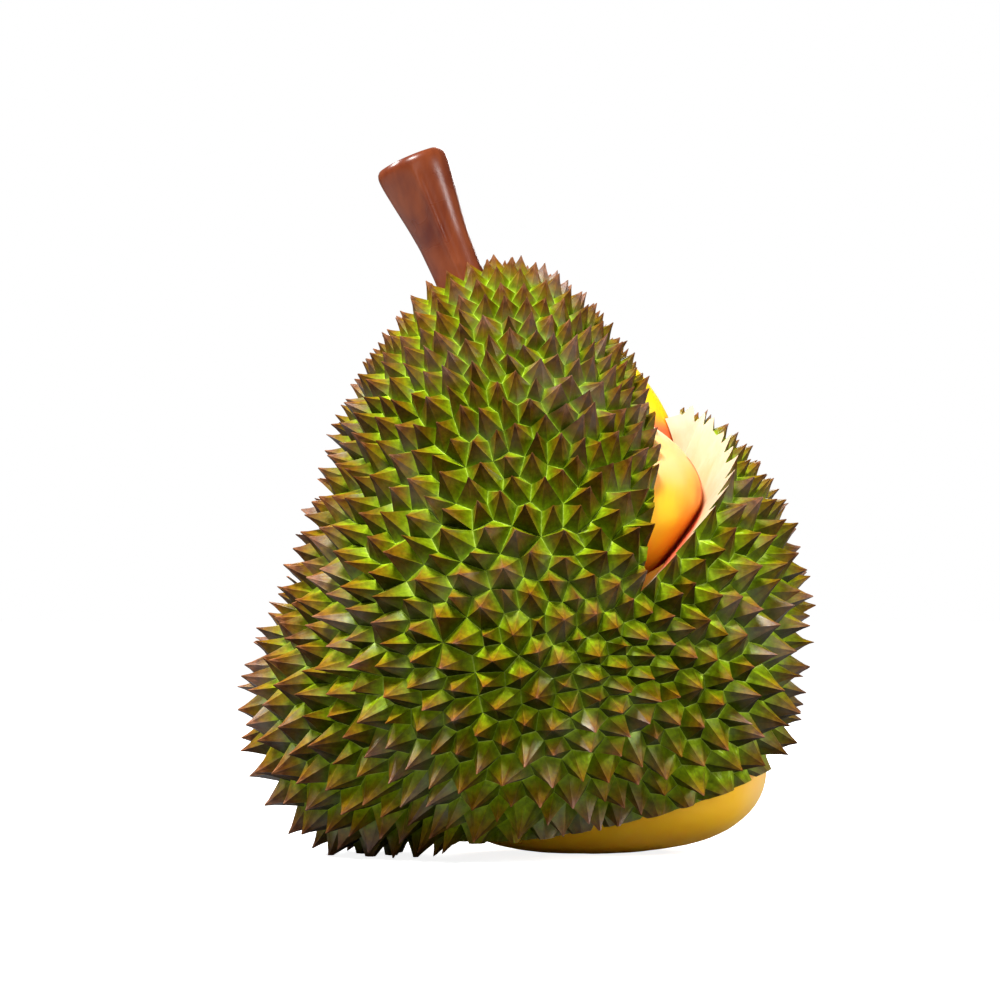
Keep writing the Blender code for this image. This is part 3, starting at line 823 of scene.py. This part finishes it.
def stalkMesh():
    foot, axis = Vector(stalk["foot"]), Vector(stalk["top"]) - Vector(stalk["foot"])
    turned = axis.to_track_quat("Z", "Y").to_matrix()
    corners = np.array(stalk["profile"])
    steps = np.hypot(np.diff(corners[:, 0]), np.diff(corners[:, 1]) * axis.length)
    along = np.concatenate([[0], np.cumsum(steps)])
    # closer rows round the lip, wider ones down the shaft
    rows = np.concatenate([np.linspace(0.02, along[4], 14), np.linspace(along[4], along[-2], 30)[1:],
                           np.linspace(along[-2], along[-1] - 0.3, 4)[1:]])
    radii = np.interp(rows, along, corners[:, 0])
    heights = np.interp(rows, along, corners[:, 1]) * axis.length
    radii[1:-3] = np.convolve(np.pad(radii, 1, mode="edge"), [0.25, 0.5, 0.25], "valid")[1:-3]
    facing = turned.inverted() @ Vector(stalk["ridgeWay"])
    ridgeAt = math.atan2(facing.y, facing.x)
    narrow, broad = stalk["ridgeWidth"]
    bm = bmesh.new()
    previous = None
    for radius, height in zip(radii, heights):
        ring = []
        for angle in np.linspace(0, 2 * math.pi, stalk["sides"], endpoint=False):
            # a few soft ribs run down the shaft
            rib = sum(deep * math.sin(count * angle + turn + height * twist)
                      for count, deep, turn, twist in stalk["ribs"])
            soft = min(1.0, radius / 10) * (0.0 if height < 4 else 1.0)
            off = (angle - ridgeAt + math.pi) % (2 * math.pi) - math.pi
            ridge = math.exp(-(off / narrow) ** 2) - 0.6 * math.exp(-(off / broad) ** 2)
            toEnd = max(axis.length * stalk["ridgeEnd"] - height, 0.0)
            ridge *= stalk["ridgeHeight"] * min(1.0, height / stalk["ridgeStart"], toEnd / 8)
            reach = max(radius - 0.5 * soft * (1 - rib) + soft * ridge, 0.02)
            point = Vector((reach * math.cos(angle), reach * math.sin(angle), height))
            ring.append(bm.verts.new(foot + turned @ point))
        if previous:
            for i in range(len(ring)):
                bm.faces.new((previous[i], ring[i], ring[i - 1], previous[i - 1]))
        else:
            bm.faces.new(ring)
        previous = ring
    bm.faces.new(reversed(previous))
    bmesh.ops.recalc_face_normals(bm, faces=bm.faces)
    return bm


def stalkMaterial():
    # polished brown stalk: smooth reddish bark
    material, tree, shader = newMaterial("polishedStalkBark")
    place = addNode(tree, "ShaderNodeTexCoord").outputs["Object"]
    leaned = addNode(tree, "ShaderNodeMapping", {
        "Vector": place, "Rotation": (0.0, stalk["grainTurn"], 0.0), "Scale": (1.0, 1.0, 0.2)})
    streak = addNode(tree, "ShaderNodeTexNoise", {"Vector": leaned, "Scale": 260.0, "Detail": 4.0})
    patch = addNode(tree, "ShaderNodeTexNoise", {"Vector": place, "Scale": 45.0, "Detail": 2.0})
    both = addNode(tree, "ShaderNodeMix", {0: 0.35, 2: patch, 3: streak})
    share = addNode(tree, "ShaderNodeMapRange", {"Value": both, "From Min": 0.32, "From Max": 0.68})
    colour = addNode(tree, "ShaderNodeMix", {
        0: share, 6: linear(stalk["dark"]), 7: linear(stalk["red"])}, data_type="RGBA")
    rough = addNode(tree, "ShaderNodeMapRange", {
        "Value": patch, "From Min": 0.3, "From Max": 0.7, "To Min": stalk["roughness"] - 0.04,
        "To Max": stalk["roughness"] + 0.08})
    bump = addNode(tree, "ShaderNodeBump", {"Height": streak, "Strength": 0.08, "Distance": 0.0008})
    plug(shader, {"Base Color": colour.outputs[2], "Roughness": rough, "Normal": bump,
                  "Specular IOR Level": 0.4})
    return material


# the pods of flesh: name, centre, radii, turn about Y, squareness
pods = {
    "shapes": (
        ("pod_back_upper", (38.5, 37.0, 196.0), (47.8, 26.0, 25.9), 59.0, 2.16),
        ("pod_right", (34.8, 3.0, 165.2), (42.3, 44.0, 36.0), 37.4, 3.0),
        ("pod_base", (34.0, 26.0, 40.0), (76.0, 47.0, 40.4), -2.0, 2.6),
        ("pod_left_upper", (-32.0, -6.0, 176.0), (39.0, 46.0, 58.0), -12.0, 2.0),
        ("pod_left", (-64.0, 8.0, 72.0), (42.0, 56.0, 50.0), 0.0, 2.0),
        ("pod_right_lower", (66.0, 4.0, 98.0), (36.0, 60.0, 42.0), 0.0, 2.0),
        ("pod_front", (-9.0, 0.0, 107.0), (41.0, 64.0, 56.0), 0.0, 2.0),
    ),
    "nested": ("pod_back_upper", "pod_base"),  # the husk makes room for these
    "splitSide": 48.0,  # the one in the split stays under the rind left of this x
    "splitRoomFrom": 57.0,  # and the husk makes room for it right of this one
    "gap": 0.4,
    "rindLeft": 6.0,  # flesh sinks into the pith and stays this far below the grooves
    "spikeRoom": 1.3,  # and clear of the spikes up to this share of their height
    "segments": 96,
    "rings": 60,
    "tries": 80,  # steps in which a pod swells
    "lump": (0.045, 0.5),  # waves a mm and depth in mm of its unevenness, coarse and fine
    "fineLump": (0.16, 0.12),
    "sink": 0.3,
    "room": 0.4,
    "openWays": ((0, 0, 0), (0, 0, -70), (50, 20, -30), (0, 70, -20)),
}


def podSize(pod, ways):
    _, _, radii, turn, squareness = pod
    turned = ways @ np.array(Matrix.Rotation(math.radians(turn), 3, "Y"))
    return (np.abs(turned / np.array(radii)) ** squareness).sum(axis=1) ** (-1 / squareness)


def podDistance(pod, points):
    offset = points - np.array(pod[1])
    distance = np.linalg.norm(offset, axis=1) + 1e-9
    return distance - podSize(pod, offset / distance[:, None])


def planesOf(bm):
    bmesh.ops.recalc_face_normals(bm, faces=bm.faces)
    normals = np.array([face.normal[:] for face in bm.faces])
    starts = np.array([face.verts[0].co[:] for face in bm.faces])
    return normals, (normals * starts).sum(axis=1)


def inRind(points, openPlanes):
    depth = skinDistance(points)
    inside = (depth > -pods["rindLeft"]) & (depth < pods["spikeRoom"] * spikes["height"])
    for normals, distances in openPlanes:
        inside &= ((points @ normals.T - distances) > -pods["gap"]).any(axis=1)
    return inside


def podRoom(name, openWays=((0, 0, 0),), room=pods["room"], side=-opening["far"]):
    # the space that a pod takes in the husk to the right of side, open some ways
    pod = next(pod for pod in pods["shapes"] if pod[0] == name)
    bm = bmesh.new()
    bmesh.ops.create_uvsphere(bm, u_segments=48, v_segments=30, radius=1.0)
    ways = getPoints(bm)
    bm.free()
    shape = np.array(pod[1]) + ways * (podSize(pod, ways) + room)[:, None]
    shape = shape[shape[:, 0] > side]
    return hullOf(np.concatenate([shape + np.array(way) for way in openWays]))


def podMesh(index, openPlanes):
    # a pod swells until it meets the rind or a pod before it, and its skin is soft and a little uneven
    pod = pods["shapes"][index]
    centre = np.array(pod[1])
    bm = bmesh.new()
    bmesh.ops.create_uvsphere(bm, u_segments=pods["segments"], v_segments=pods["rings"], radius=1.0)
    ways = getPoints(bm)
    size = podSize(pod, ways)
    share = np.ones(len(ways))
    clear = np.ones(len(ways), bool)
    for tried in np.linspace(0, 1, pods["tries"] + 1)[1:]:
        points = centre + ways * (size * tried)[:, None]
        free = np.full(len(ways), True)
        for other in pods["shapes"][:index]:
            free &= podDistance(other, points) > pods["gap"]
        if pod[0] not in pods["nested"]:
            inSplit = (pod[0] == "pod_right") & (points[:, 0] > pods["splitSide"])
            free &= ~inRind(points, openPlanes) | inSplit
        share[clear & ~free] = tried - 1 / pods["tries"]
        clear &= free
    beside = [[edge.other_vert(vertex).index for edge in vertex.link_edges] for vertex in bm.verts]
    for settle in (min, mean, mean) if pod[0] == "pod_right" else (min, min, mean, mean, mean):
        share = np.array([settle([share[i], *share[around]]) for i, around in enumerate(beside)])
    points = centre + ways * (size * share)[:, None]
    sink = np.full(len(ways), pods["sink"])
    lumps = ((pods["lump"], (index * 7.0, 0, 0)), (pods["fineLump"], (0, index * 5.0, 0)))
    for (waves, deep), start in lumps:
        sink += deep * np.array([noise.noise(Vector(point) * waves + Vector(start)) for point in points])
    points -= ways * np.clip(sink, 0, None)[:, None]
    if pod[0] == "pod_base":
        points[:, 2] = np.maximum(points[:, 2], 0.0)
    setPoints(bm.verts, points)
    bmesh.ops.recalc_face_normals(bm, faces=bm.faces)
    return bm, 1 - share


podLook = {
    "pod_right": {
        "material": "ripeDurianFlesh",
        "colours": ((0.0, "#ffd41c"), (0.3, "#ffbe24"), (0.6, "#ffae30"), (0.85, "#fa9a38"),
                    (1.0, "#f07c30")),
        "fold": "#e8742c", "seam": "#d0441a", "seamReach": (1.1, 2.2), "streakTurn": -40.0},
    "pod_back_upper": {
        "material": "yellowDurianFlesh",
        "colours": ((0.0, "#ffd800"), (0.45, "#ffc400"), (0.8, "#f58a10"), (1.0, "#e05a18")),
        "fold": "#e8742c", "seam": "#d9501f", "seamReach": (0.0, 0.0), "streakTurn": -43.0},
    "pod_base": {
        "material": "goldenDurianFlesh",
        "colours": ((0.0, "#ffc008"), (0.5, "#fcb204"), (1.0, "#d88c08")),
        "fold": "#f2883c", "seam": "#c87c08", "seamReach": (0.0, 0.0), "streakTurn": 90.0},
    "others": {
        "material": "paleDurianFlesh",
        "colours": ((0.0, "#ffdc5a"), (0.5, "#fcc848"), (1.0, "#f0a040")),
        "fold": "#f0b060", "seam": "#f0a040", "seamReach": (0.0, 0.0), "streakTurn": 0.0},
    "peach": "#f8cc84",
    "streakMm": 9.0,
    "streakShare": 0.09,
    "patchMm": 22.0,
    "patchShare": 0.1,
    "roughness": (0.42, 0.55),
    "depth": 0.4,  # share of the light that goes into the flesh and comes out again
}


def podMaterial(name):
    # waxy flesh: yellow, warmer towards its rims, painted shade in a deeper orange where it presses on the
    # rind or another pod, and a red seam down the side of the one in the split
    look = podLook.get(name, podLook["others"])
    pod = next((pod for pod in pods["shapes"] if pod[0] == name), pods["shapes"][0])
    material, tree, shader = newMaterial(look["material"])
    place = addNode(tree, "ShaderNodeTexCoord").outputs["Object"]
    warm, peach, pressed, near = [addNode(tree, "ShaderNodeAttribute", attribute_name=name)
                                  for name in ("warm", "peach", "pressed", "toRim")]
    along = addNode(tree, "ShaderNodeMapping", {
        "Vector": place, "Rotation": (0.0, math.radians(look["streakTurn"]), 0.0),
        "Scale": (1.0, 1.0, 0.16)})
    streak = addNode(tree, "ShaderNodeTexNoise", {
        "Vector": along, "Scale": 1000 / podLook["streakMm"], "Detail": 4.0, "Roughness": 0.6})
    patch = addNode(tree, "ShaderNodeTexNoise", {
        "Vector": place, "Scale": 1000 / podLook["patchMm"], "Detail": 3.0})
    wander = addNode(tree, "ShaderNodeMapRange", {
        "Value": streak, "From Min": 0.3, "From Max": 0.7, "To Min": -podLook["streakShare"],
        "To Max": podLook["streakShare"]})
    drift = addNode(tree, "ShaderNodeMapRange", {
        "Value": patch, "From Min": 0.3, "From Max": 0.7, "To Min": -podLook["patchShare"],
        "To Max": podLook["patchShare"]})
    level = warm
    for part in (wander, drift):
        level = addNode(tree, "ShaderNodeMath", {0: level, 1: part}, operation="ADD")
    colours = addNode(tree, "ShaderNodeValToRGB", {0: level})
    fillRamp(colours.color_ramp.elements, look["colours"])
    blushed = addNode(tree, "ShaderNodeMix", {
        0: peach, 6: colours, 7: linear(podLook["peach"])}, data_type="RGBA")
    # painted shade: a deeper orange where the pod presses on the rind or another pod
    contactShaded = addNode(tree, "ShaderNodeMix", {
        0: pressed, 6: blushed.outputs[2], 7: linear(look["fold"])}, data_type="RGBA")
    # a dark red line where the flesh meets the cut rind, its width wavering
    wavered = addNode(tree, "ShaderNodeMapRange", {
        "Value": patch, "From Min": 0.3, "From Max": 0.7, "To Min": -0.5, "To Max": 0.5})
    off = addNode(tree, "ShaderNodeMath", {0: near, 1: wavered}, operation="ADD")
    seam = addNode(tree, "ShaderNodeMapRange", {
        "Value": off, "From Min": look["seamReach"][0], "From Max": look["seamReach"][1] + 0.001,
        "To Min": 1.0 if look["seamReach"][1] else 0.0, "To Max": 0.0})
    sewn = addNode(tree, "ShaderNodeMix", {
        0: seam, 6: contactShaded.outputs[2], 7: linear(look["seam"])}, data_type="RGBA")
    rough = addNode(tree, "ShaderNodeMapRange", {
        "Value": patch, "From Min": 0.3, "From Max": 0.7, "To Min": podLook["roughness"][0],
        "To Max": podLook["roughness"][1]})
    bump = addNode(tree, "ShaderNodeBump", {"Height": streak, "Strength": 0.12, "Distance": 0.001})
    plug(shader, {"Base Color": sewn.outputs[2], "Roughness": rough, "Normal": bump,
                  "Subsurface Weight": podLook["depth"], "Subsurface Radius": (0.012, 0.006, 0.002),
                  "Subsurface Scale": 1.0})
    return material


def fade(values, start, end):
    share = np.clip((values - start) / (end - start), 0, 1)
    return share * share * (3 - 2 * share)


def toOutline(name, points):
    # how far inside a pod's outline, seen from the front, a point is, in mm
    _, centre, radii, turn, squareness = next(pod for pod in pods["shapes"] if pod[0] == name)
    turned = (points - np.array(centre)) @ np.array(Matrix.Rotation(math.radians(turn), 3, "Y"))
    share = (np.abs(turned[:, ::2] / np.array(radii)[::2]) ** squareness).sum(axis=1) ** (1 / squareness)
    return (1 - share) * np.linalg.norm(turned[:, ::2], axis=1) / np.maximum(share, 0.05)


def toRim(points):
    # how far inside the split's cut face a point is, in mm
    core = np.array(opening["core"])
    rim = np.array([nearSkin(x, z) for x, z in opening["rim"]]) - core
    normals = unit(np.cross(rim[1:], rim[:-1]))
    normals *= np.sign((normals @ (rim.mean(axis=0))))[:, None]
    return ((points - core) @ normals.T).min(axis=1)


podPaint = {  # how strong a colour gets, and where it starts and is full, in mm
    "seamless": 9.0,  # as far from a seam as counts as clear of it
    "seamEnds": ((52, 44), (-14, -4), (178, 183)),
    "yellowAt": (60.1, 150.0),
    "yellowShape": (0.2, 0.42),  # its lean, and its width as a share of its height
    "orange": (0.75, 2, 14),
    "redEnd": (0.9, 134, 120),
    "peachTop": (0.9, 146, 162),
    "peachEdge": (82, 68),
    "upperEnd": (1.0, 207, 192),
    "upperTop": (0.3, 212, 222),
    "upperBack": (0.65, 36, 52),
    "baseFoot": (0.4, 14, -2),
    "baseSide": (0.6, 92, 108),
    "hidden": (0.4, 0.4, 0.05, 0.3),  # warmth and its waves, waves a mm, peach
    "pressed": (0.02, 0.12),
}


def markPod(made, name, pressedShare):
    points = placesOf(made.data) / mm - middle
    x, y, z = points.T
    paint = podPaint

    def tint(part, values):
        strength, start, end = paint[part]
        return strength * fade(values, start, end)

    off = np.full(len(z), paint["seamless"])
    peach = np.zeros(len(z))
    if name == "pod_right":
        # yellow in the middle of what the split shows, orange round it, red at the low end, peach at the top
        clear = np.max([fade(values, *ends) for values, ends in zip((x, y, z), paint["seamEnds"])], axis=0)
        off = np.maximum(np.minimum(toOutline(name, points), toRim(points)), off * clear)
        lean, narrow = paint["yellowShape"]
        across, up = x - paint["yellowAt"][0], z - paint["yellowAt"][1]
        warm = np.maximum(tint("orange", np.hypot(across - lean * up, up * narrow)), tint("redEnd", z))
        peach = tint("peachTop", z - 0.25 * x) * fade(x, *paint["peachEdge"])
    elif name == "pod_back_upper":
        warm = np.maximum(tint("upperEnd", z), tint("upperTop", z)) * (1 - tint("upperBack", y))
    elif name == "pod_base":
        warm = tint("baseFoot", z)
        peach = tint("baseSide", x)
    else:
        level, waves, often, blush = paint["hidden"]
        warm = level + waves * np.sin(z * often)
        peach += blush
    # painted shade where the pod was held back by the rind or another pod
    pressed = (0.3 if name == "pod_right" else 0.8) * fade(pressedShare, *paint["pressed"])
    for label, values in (("toRim", off), ("warm", warm), ("peach", peach), ("pressed", pressed)):
        mark(made.data, label, "FLOAT", "POINT", values)


def shadeByAngle(mesh, degrees):
    mesh.shade_smooth()
    mesh.set_sharp_from_angle(angle=math.radians(degrees))


print("materials")
rind, pith, bark = rindMaterial(), pithMaterial(), stalkMaterial()
flesh = {name: podMaterial(name) for name in ("pod_right", "pod_back_upper", "pod_base", "others")}

print("husk")
husk = cutHusk(rind, pith)
shadeByAngle(husk.data, 24)
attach(husk, "root")
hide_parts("husk")

print("stalk")
stem = makeObject("durianStalk", stalkMesh(), [bark])
shadeByAngle(stem.data, 50)
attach(stem, "root")
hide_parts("stem")

print("flesh")
openPlanes = [planesOf(mesh) for mesh in openings().values()]
for index, (name, *_) in enumerate(pods["shapes"]):
    mesh, pressedShare = podMesh(index, openPlanes)
    words = name.split("_")
    made = makeObject(words[0] + "".join(word.capitalize() for word in words[1:]), mesh,
                      [flesh.get(name, flesh["others"])])
    markPod(made, name, pressedShare)
    made.data.shade_smooth()
    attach(made, "root")
    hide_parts(name)

print("studio")
studio = {
    "floor": "#f4f4f4",
    "floorReach": 60.0,
    "floorGlow": (0.86, 1.0),
    "glowReach": (0.5, 2.0),
    "floorBounce": "#a6a6a6",
    "cameraAt": (-0.0114, -1.499, 0.1077),
    "cameraTo": (-0.0114, 0.0, 0.160),
    "lens": 120.0,
    "worldStrength": 0.09,
    "lights": (  # place, target, size, power
        ((-0.3, -0.8, 1.35), (0.0, 0.0, 0.12), 0.4, 31.0),
        ((0.8, -0.25, 0.4), (0.05, 0.0, 0.06), 0.25, 4.5),
        ((-0.85, 0.05, 0.9), (0.0, 0.0, 0.14), 0.3, 12.0),
        ((0.3, -1.7, 0.3), (0.0, 0.0, 0.10), 0.8, 3.0),
        ((0.1, 1.6, 1.0), (0.0, 0.0, 0.12), 0.8, 22.0),
    ),
}


def pointAt(made, target):
    made.rotation_euler = (Vector(target) - made.location).to_track_quat("-Z", "Y").to_euler()


def makeStudio():
    scene = bpy.context.scene
    bpy.ops.mesh.primitive_circle_add(vertices=64, radius=studio["floorReach"], fill_type="NGON",
                                      location=(0, 0, 0))
    floor = bpy.context.object
    floor.name = "studioFloor"
    paper, tree, shader = newMaterial("paleStudioFloor")
    place = addNode(tree, "ShaderNodeTexCoord").outputs["Object"]
    mottle = addNode(tree, "ShaderNodeTexNoise", {"Vector": place, "Scale": 3.0})
    light = addNode(tree, "ShaderNodeMapRange", {"Value": mottle, "To Min": 0.98, "To Max": 1.0})
    tone = addNode(tree, "ShaderNodeMix", {0: 1.0, 6: linear(studio["floor"]), 7: light},
                   data_type="RGBA", blend_type="MULTIPLY")
    # the camera sees bright paper as far as it goes, while little of it lights the fruit from below
    toCamera = addNode(tree, "ShaderNodeLightPath").outputs["Is Camera Ray"]
    seen = addNode(tree, "ShaderNodeMix", {
        0: toCamera, 6: linear(studio["floorBounce"]), 7: tone.outputs[2]}, data_type="RGBA")
    away = addNode(tree, "ShaderNodeVectorMath", {0: place}, operation="LENGTH")
    glow = addNode(tree, "ShaderNodeMapRange", {
        "Value": away.outputs["Value"], "From Min": studio["glowReach"][0],
        "From Max": studio["glowReach"][1], "To Min": studio["floorGlow"][0],
        "To Max": studio["floorGlow"][1]})
    bright = addNode(tree, "ShaderNodeMath", {0: toCamera, 1: glow}, operation="MULTIPLY")
    plug(shader, {"Base Color": seen.outputs[2], "Roughness": 0.8, "Emission Strength": bright,
                  "Emission Color": (1.0, 1.0, 1.0, 1.0)})
    floor.data.materials.append(paper)
    world = bpy.data.worlds.new("softWhiteStudio")
    scene.world = world
    world.use_nodes = True
    sky = world.node_tree.nodes["Background"]
    toCamera = addNode(world.node_tree, "ShaderNodeLightPath").outputs["Is Camera Ray"]
    strength = addNode(world.node_tree, "ShaderNodeMapRange", {
        "Value": toCamera, "To Min": studio["worldStrength"], "To Max": 1.0})
    plug(sky, {"Color": (1.0, 1.0, 1.0, 1.0), "Strength": strength})
    for number, (where, target, size, power) in enumerate(studio["lights"]):
        lamp = bpy.data.lights.new(f"softBox{number}", "AREA")
        lamp.size = size
        lamp.energy = power
        made = bpy.data.objects.new(lamp.name, lamp)
        scene.collection.objects.link(made)
        made.location = where
        pointAt(made, target)
    camera = bpy.data.objects.new("camera", bpy.data.cameras.new("camera"))
    scene.collection.objects.link(camera)
    camera.location = studio["cameraAt"]
    pointAt(camera, studio["cameraTo"])
    camera.data.lens = studio["lens"]
    camera.data.sensor_width = 36.0
    scene.camera = camera
    scene.view_settings.view_transform = "Standard"


makeStudio()
